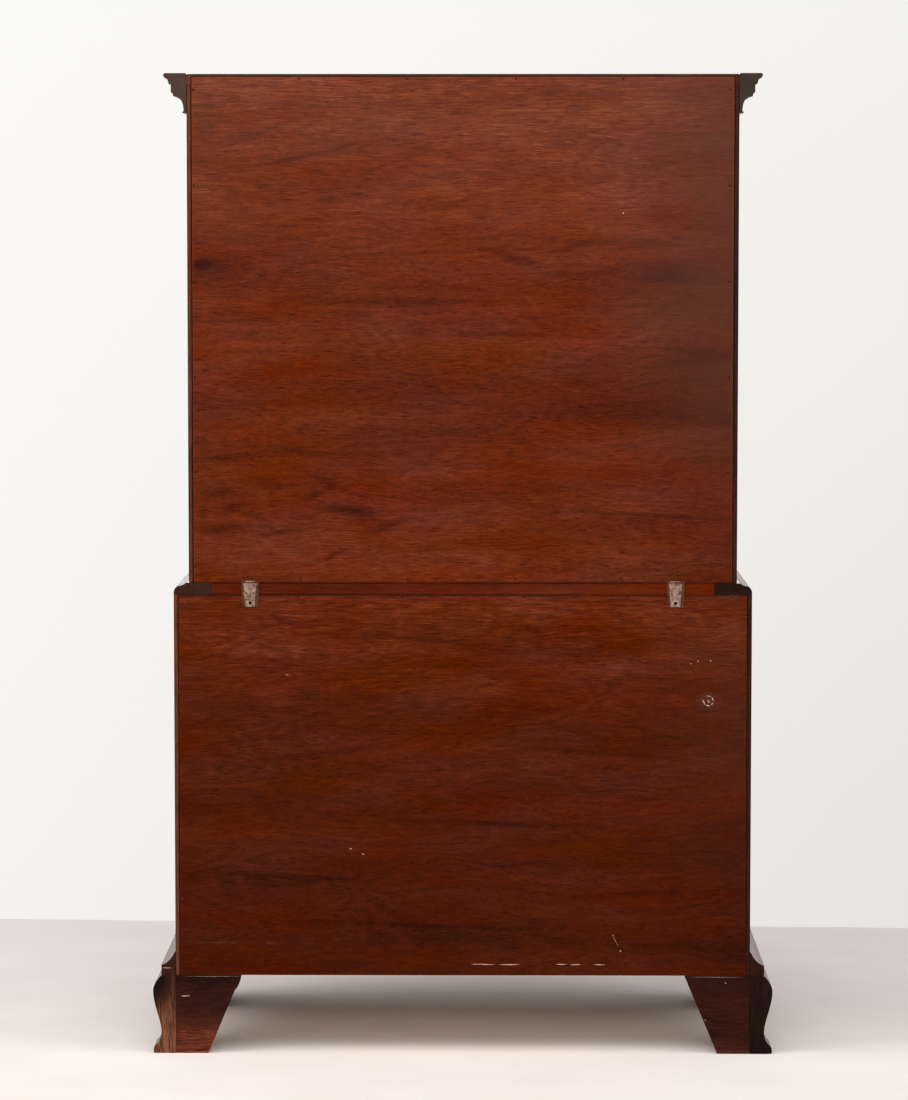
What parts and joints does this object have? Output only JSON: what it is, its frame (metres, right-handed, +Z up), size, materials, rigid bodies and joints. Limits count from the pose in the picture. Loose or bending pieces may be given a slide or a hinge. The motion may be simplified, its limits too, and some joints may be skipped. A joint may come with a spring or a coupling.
{
  "type": "chest on chest",
  "caption": "Mahogany chest on chest: an upper case of drawers lifts off a wider lower case on ogee bracket feet, with moulded cornice, waist and base, and swinging brass bails.",
  "frame": {"origin": "on the floor, at the centre of the overall width and depth", "axes": "+Z up, -Y the front with the drawers, +Y the plywood back, +X the right-hand side of someone who faces the front"},
  "size_m": [1.146, 0.5454, 1.805],
  "materials": {
    "polished_mahogany": "French-polished mahogany, semi-gloss",
    "stained_mouldings": "dark stained mahogany with open end grain",
    "upper_plywood": "stained rotary-cut plywood, warm orange-brown, semi-gloss",
    "lower_plywood": "stained rotary-cut plywood, darker red-brown, semi-gloss",
    "drawer_wood": "plain waxed drawer lining wood",
    "aged_brass": "aged polished brass",
    "nickel_steel": "worn nickel plate on steel"
  },
  "bodies": {
    "lower_case": {"lower_side_right": "polished_mahogany", "lower_side_left": "polished_mahogany", "lower_top": "polished_mahogany", "lower_bottom": "drawer_wood", "lower_dustboard_1": "polished_mahogany", "lower_dustboard_2": "polished_mahogany", "lower_back_panel": "lower_plywood", "waist_moulding": "stained_mouldings", "base_moulding": "polished_mahogany", "front_foot_right": "polished_mahogany", "front_foot_left": "polished_mahogany", "rear_foot_right": "stained_mouldings", "rear_foot_left": "stained_mouldings", "rear_bracket_right": "polished_mahogany", "rear_bracket_left": "polished_mahogany", "clip_right": "nickel_steel", "clip_left": "nickel_steel"},
    "upper_case": {"upper_side_right": "polished_mahogany", "upper_side_left": "polished_mahogany", "upper_top": "polished_mahogany", "upper_bottom": "drawer_wood", "upper_frieze_frame": "polished_mahogany", "upper_dustboard_1": "polished_mahogany", "upper_dustboard_2": "polished_mahogany", "upper_dustboard_3": "polished_mahogany", "upper_drawer_divider": "polished_mahogany", "upper_back_panel": "upper_plywood", "cornice_front": "polished_mahogany", "cornice_right": "stained_mouldings", "cornice_left": "stained_mouldings"},
    "lower_drawer_1": {"lower_drawer_1_front": "polished_mahogany", "lower_drawer_1_box": "drawer_wood"},
    "lower_drawer_1_bail_left": {"lower_drawer_1_bail_left": "aged_brass"},
    "lower_drawer_1_bail_right": {"lower_drawer_1_bail_right": "aged_brass"},
    "lower_drawer_2": {"lower_drawer_2_front": "polished_mahogany", "lower_drawer_2_box": "drawer_wood"},
    "lower_drawer_2_bail_left": {"lower_drawer_2_bail_left": "aged_brass"},
    "lower_drawer_2_bail_right": {"lower_drawer_2_bail_right": "aged_brass"},
    "lower_drawer_3": {"lower_drawer_3_front": "polished_mahogany", "lower_drawer_3_box": "drawer_wood"},
    "lower_drawer_3_bail_left": {"lower_drawer_3_bail_left": "aged_brass"},
    "lower_drawer_3_bail_right": {"lower_drawer_3_bail_right": "aged_brass"},
    "upper_drawer_1_left": {"upper_drawer_1_left_front": "polished_mahogany", "upper_drawer_1_left_box": "drawer_wood"},
    "upper_drawer_1_left_bail": {"upper_drawer_1_left_bail": "aged_brass"},
    "upper_drawer_1_right": {"upper_drawer_1_right_front": "polished_mahogany", "upper_drawer_1_right_box": "drawer_wood"},
    "upper_drawer_1_right_bail": {"upper_drawer_1_right_bail": "aged_brass"},
    "upper_drawer_2": {"upper_drawer_2_front": "polished_mahogany", "upper_drawer_2_box": "drawer_wood"},
    "upper_drawer_2_bail_left": {"upper_drawer_2_bail_left": "aged_brass"},
    "upper_drawer_2_bail_right": {"upper_drawer_2_bail_right": "aged_brass"},
    "upper_drawer_3": {"upper_drawer_3_front": "polished_mahogany", "upper_drawer_3_box": "drawer_wood"},
    "upper_drawer_3_bail_left": {"upper_drawer_3_bail_left": "aged_brass"},
    "upper_drawer_3_bail_right": {"upper_drawer_3_bail_right": "aged_brass"},
    "upper_drawer_4": {"upper_drawer_4_front": "polished_mahogany", "upper_drawer_4_box": "drawer_wood"},
    "upper_drawer_4_bail_left": {"upper_drawer_4_bail_left": "aged_brass"},
    "upper_drawer_4_bail_right": {"upper_drawer_4_bail_right": "aged_brass"}
  },
  "joints": [
    {"name": "upper_case_lift", "type": "slide", "parent": "lower_case", "child": "upper_case", "axis": [0, 0, 1], "range_m": [0, 0.06]},
    {"name": "lower_drawer_1_slide", "type": "slide", "parent": "lower_case", "child": "lower_drawer_1", "axis": [0, -1, 0], "range_m": [0, 0.35]},
    {"name": "lower_drawer_1_bail_left_swing", "type": "hinge", "parent": "lower_drawer_1", "child": "lower_drawer_1_bail_left", "pos_m": [-0.29696, -0.24675, 0.76562], "axis": [-1, 0, 0], "range_deg": [-10, 115]},
    {"name": "lower_drawer_1_bail_right_swing", "type": "hinge", "parent": "lower_drawer_1", "child": "lower_drawer_1_bail_right", "pos_m": [0.29696, -0.24675, 0.76562], "axis": [-1, 0, 0], "range_deg": [-10, 115]},
    {"name": "lower_drawer_2_slide", "type": "slide", "parent": "lower_case", "child": "lower_drawer_2", "axis": [0, -1, 0], "range_m": [0, 0.35]},
    {"name": "lower_drawer_2_bail_left_swing", "type": "hinge", "parent": "lower_drawer_2", "child": "lower_drawer_2_bail_left", "pos_m": [-0.29696, -0.24675, 0.54385], "axis": [-1, 0, 0], "range_deg": [-10, 115]},
    {"name": "lower_drawer_2_bail_right_swing", "type": "hinge", "parent": "lower_drawer_2", "child": "lower_drawer_2_bail_right", "pos_m": [0.29696, -0.24675, 0.54385], "axis": [-1, 0, 0], "range_deg": [-10, 115]},
    {"name": "lower_drawer_3_slide", "type": "slide", "parent": "lower_case", "child": "lower_drawer_3", "axis": [0, -1, 0], "range_m": [0, 0.35]},
    {"name": "lower_drawer_3_bail_left_swing", "type": "hinge", "parent": "lower_drawer_3", "child": "lower_drawer_3_bail_left", "pos_m": [-0.29696, -0.24675, 0.31172], "axis": [-1, 0, 0], "range_deg": [-10, 115]},
    {"name": "lower_drawer_3_bail_right_swing", "type": "hinge", "parent": "lower_drawer_3", "child": "lower_drawer_3_bail_right", "pos_m": [0.29696, -0.24675, 0.31172], "axis": [-1, 0, 0], "range_deg": [-10, 115]},
    {"name": "upper_drawer_1_left_slide", "type": "slide", "parent": "upper_case", "child": "upper_drawer_1_left", "axis": [0, -1, 0], "range_m": [0, 0.35]},
    {"name": "upper_drawer_1_left_bail_swing", "type": "hinge", "parent": "upper_drawer_1_left", "child": "upper_drawer_1_left_bail", "pos_m": [-0.2465, -0.21875, 1.65272], "axis": [-1, 0, 0], "range_deg": [-10, 115]},
    {"name": "upper_drawer_1_right_slide", "type": "slide", "parent": "upper_case", "child": "upper_drawer_1_right", "axis": [0, -1, 0], "range_m": [0, 0.35]},
    {"name": "upper_drawer_1_right_bail_swing", "type": "hinge", "parent": "upper_drawer_1_right", "child": "upper_drawer_1_right_bail", "pos_m": [0.2465, -0.21875, 1.65272], "axis": [-1, 0, 0], "range_deg": [-10, 115]},
    {"name": "upper_drawer_2_slide", "type": "slide", "parent": "upper_case", "child": "upper_drawer_2", "axis": [0, -1, 0], "range_m": [0, 0.35]},
    {"name": "upper_drawer_2_bail_left_swing", "type": "hinge", "parent": "upper_drawer_2", "child": "upper_drawer_2_bail_left", "pos_m": [-0.28072, -0.21875, 1.45875], "axis": [-1, 0, 0], "range_deg": [-10, 115]},
    {"name": "upper_drawer_2_bail_right_swing", "type": "hinge", "parent": "upper_drawer_2", "child": "upper_drawer_2_bail_right", "pos_m": [0.28072, -0.21875, 1.45875], "axis": [-1, 0, 0], "range_deg": [-10, 115]},
    {"name": "upper_drawer_3_slide", "type": "slide", "parent": "upper_case", "child": "upper_drawer_3", "axis": [0, -1, 0], "range_m": [0, 0.35]},
    {"name": "upper_drawer_3_bail_left_swing", "type": "hinge", "parent": "upper_drawer_3", "child": "upper_drawer_3_bail_left", "pos_m": [-0.28072, -0.21875, 1.24423], "axis": [-1, 0, 0], "range_deg": [-10, 115]},
    {"name": "upper_drawer_3_bail_right_swing", "type": "hinge", "parent": "upper_drawer_3", "child": "upper_drawer_3_bail_right", "pos_m": [0.28072, -0.21875, 1.24423], "axis": [-1, 0, 0], "range_deg": [-10, 115]},
    {"name": "upper_drawer_4_slide", "type": "slide", "parent": "upper_case", "child": "upper_drawer_4", "axis": [0, -1, 0], "range_m": [0, 0.35]},
    {"name": "upper_drawer_4_bail_left_swing", "type": "hinge", "parent": "upper_drawer_4", "child": "upper_drawer_4_bail_left", "pos_m": [-0.28072, -0.21875, 1.0146], "axis": [-1, 0, 0], "range_deg": [-10, 115]},
    {"name": "upper_drawer_4_bail_right_swing", "type": "hinge", "parent": "upper_drawer_4", "child": "upper_drawer_4_bail_right", "pos_m": [0.28072, -0.21875, 1.0146], "axis": [-1, 0, 0], "range_deg": [-10, 115]}
  ]
}
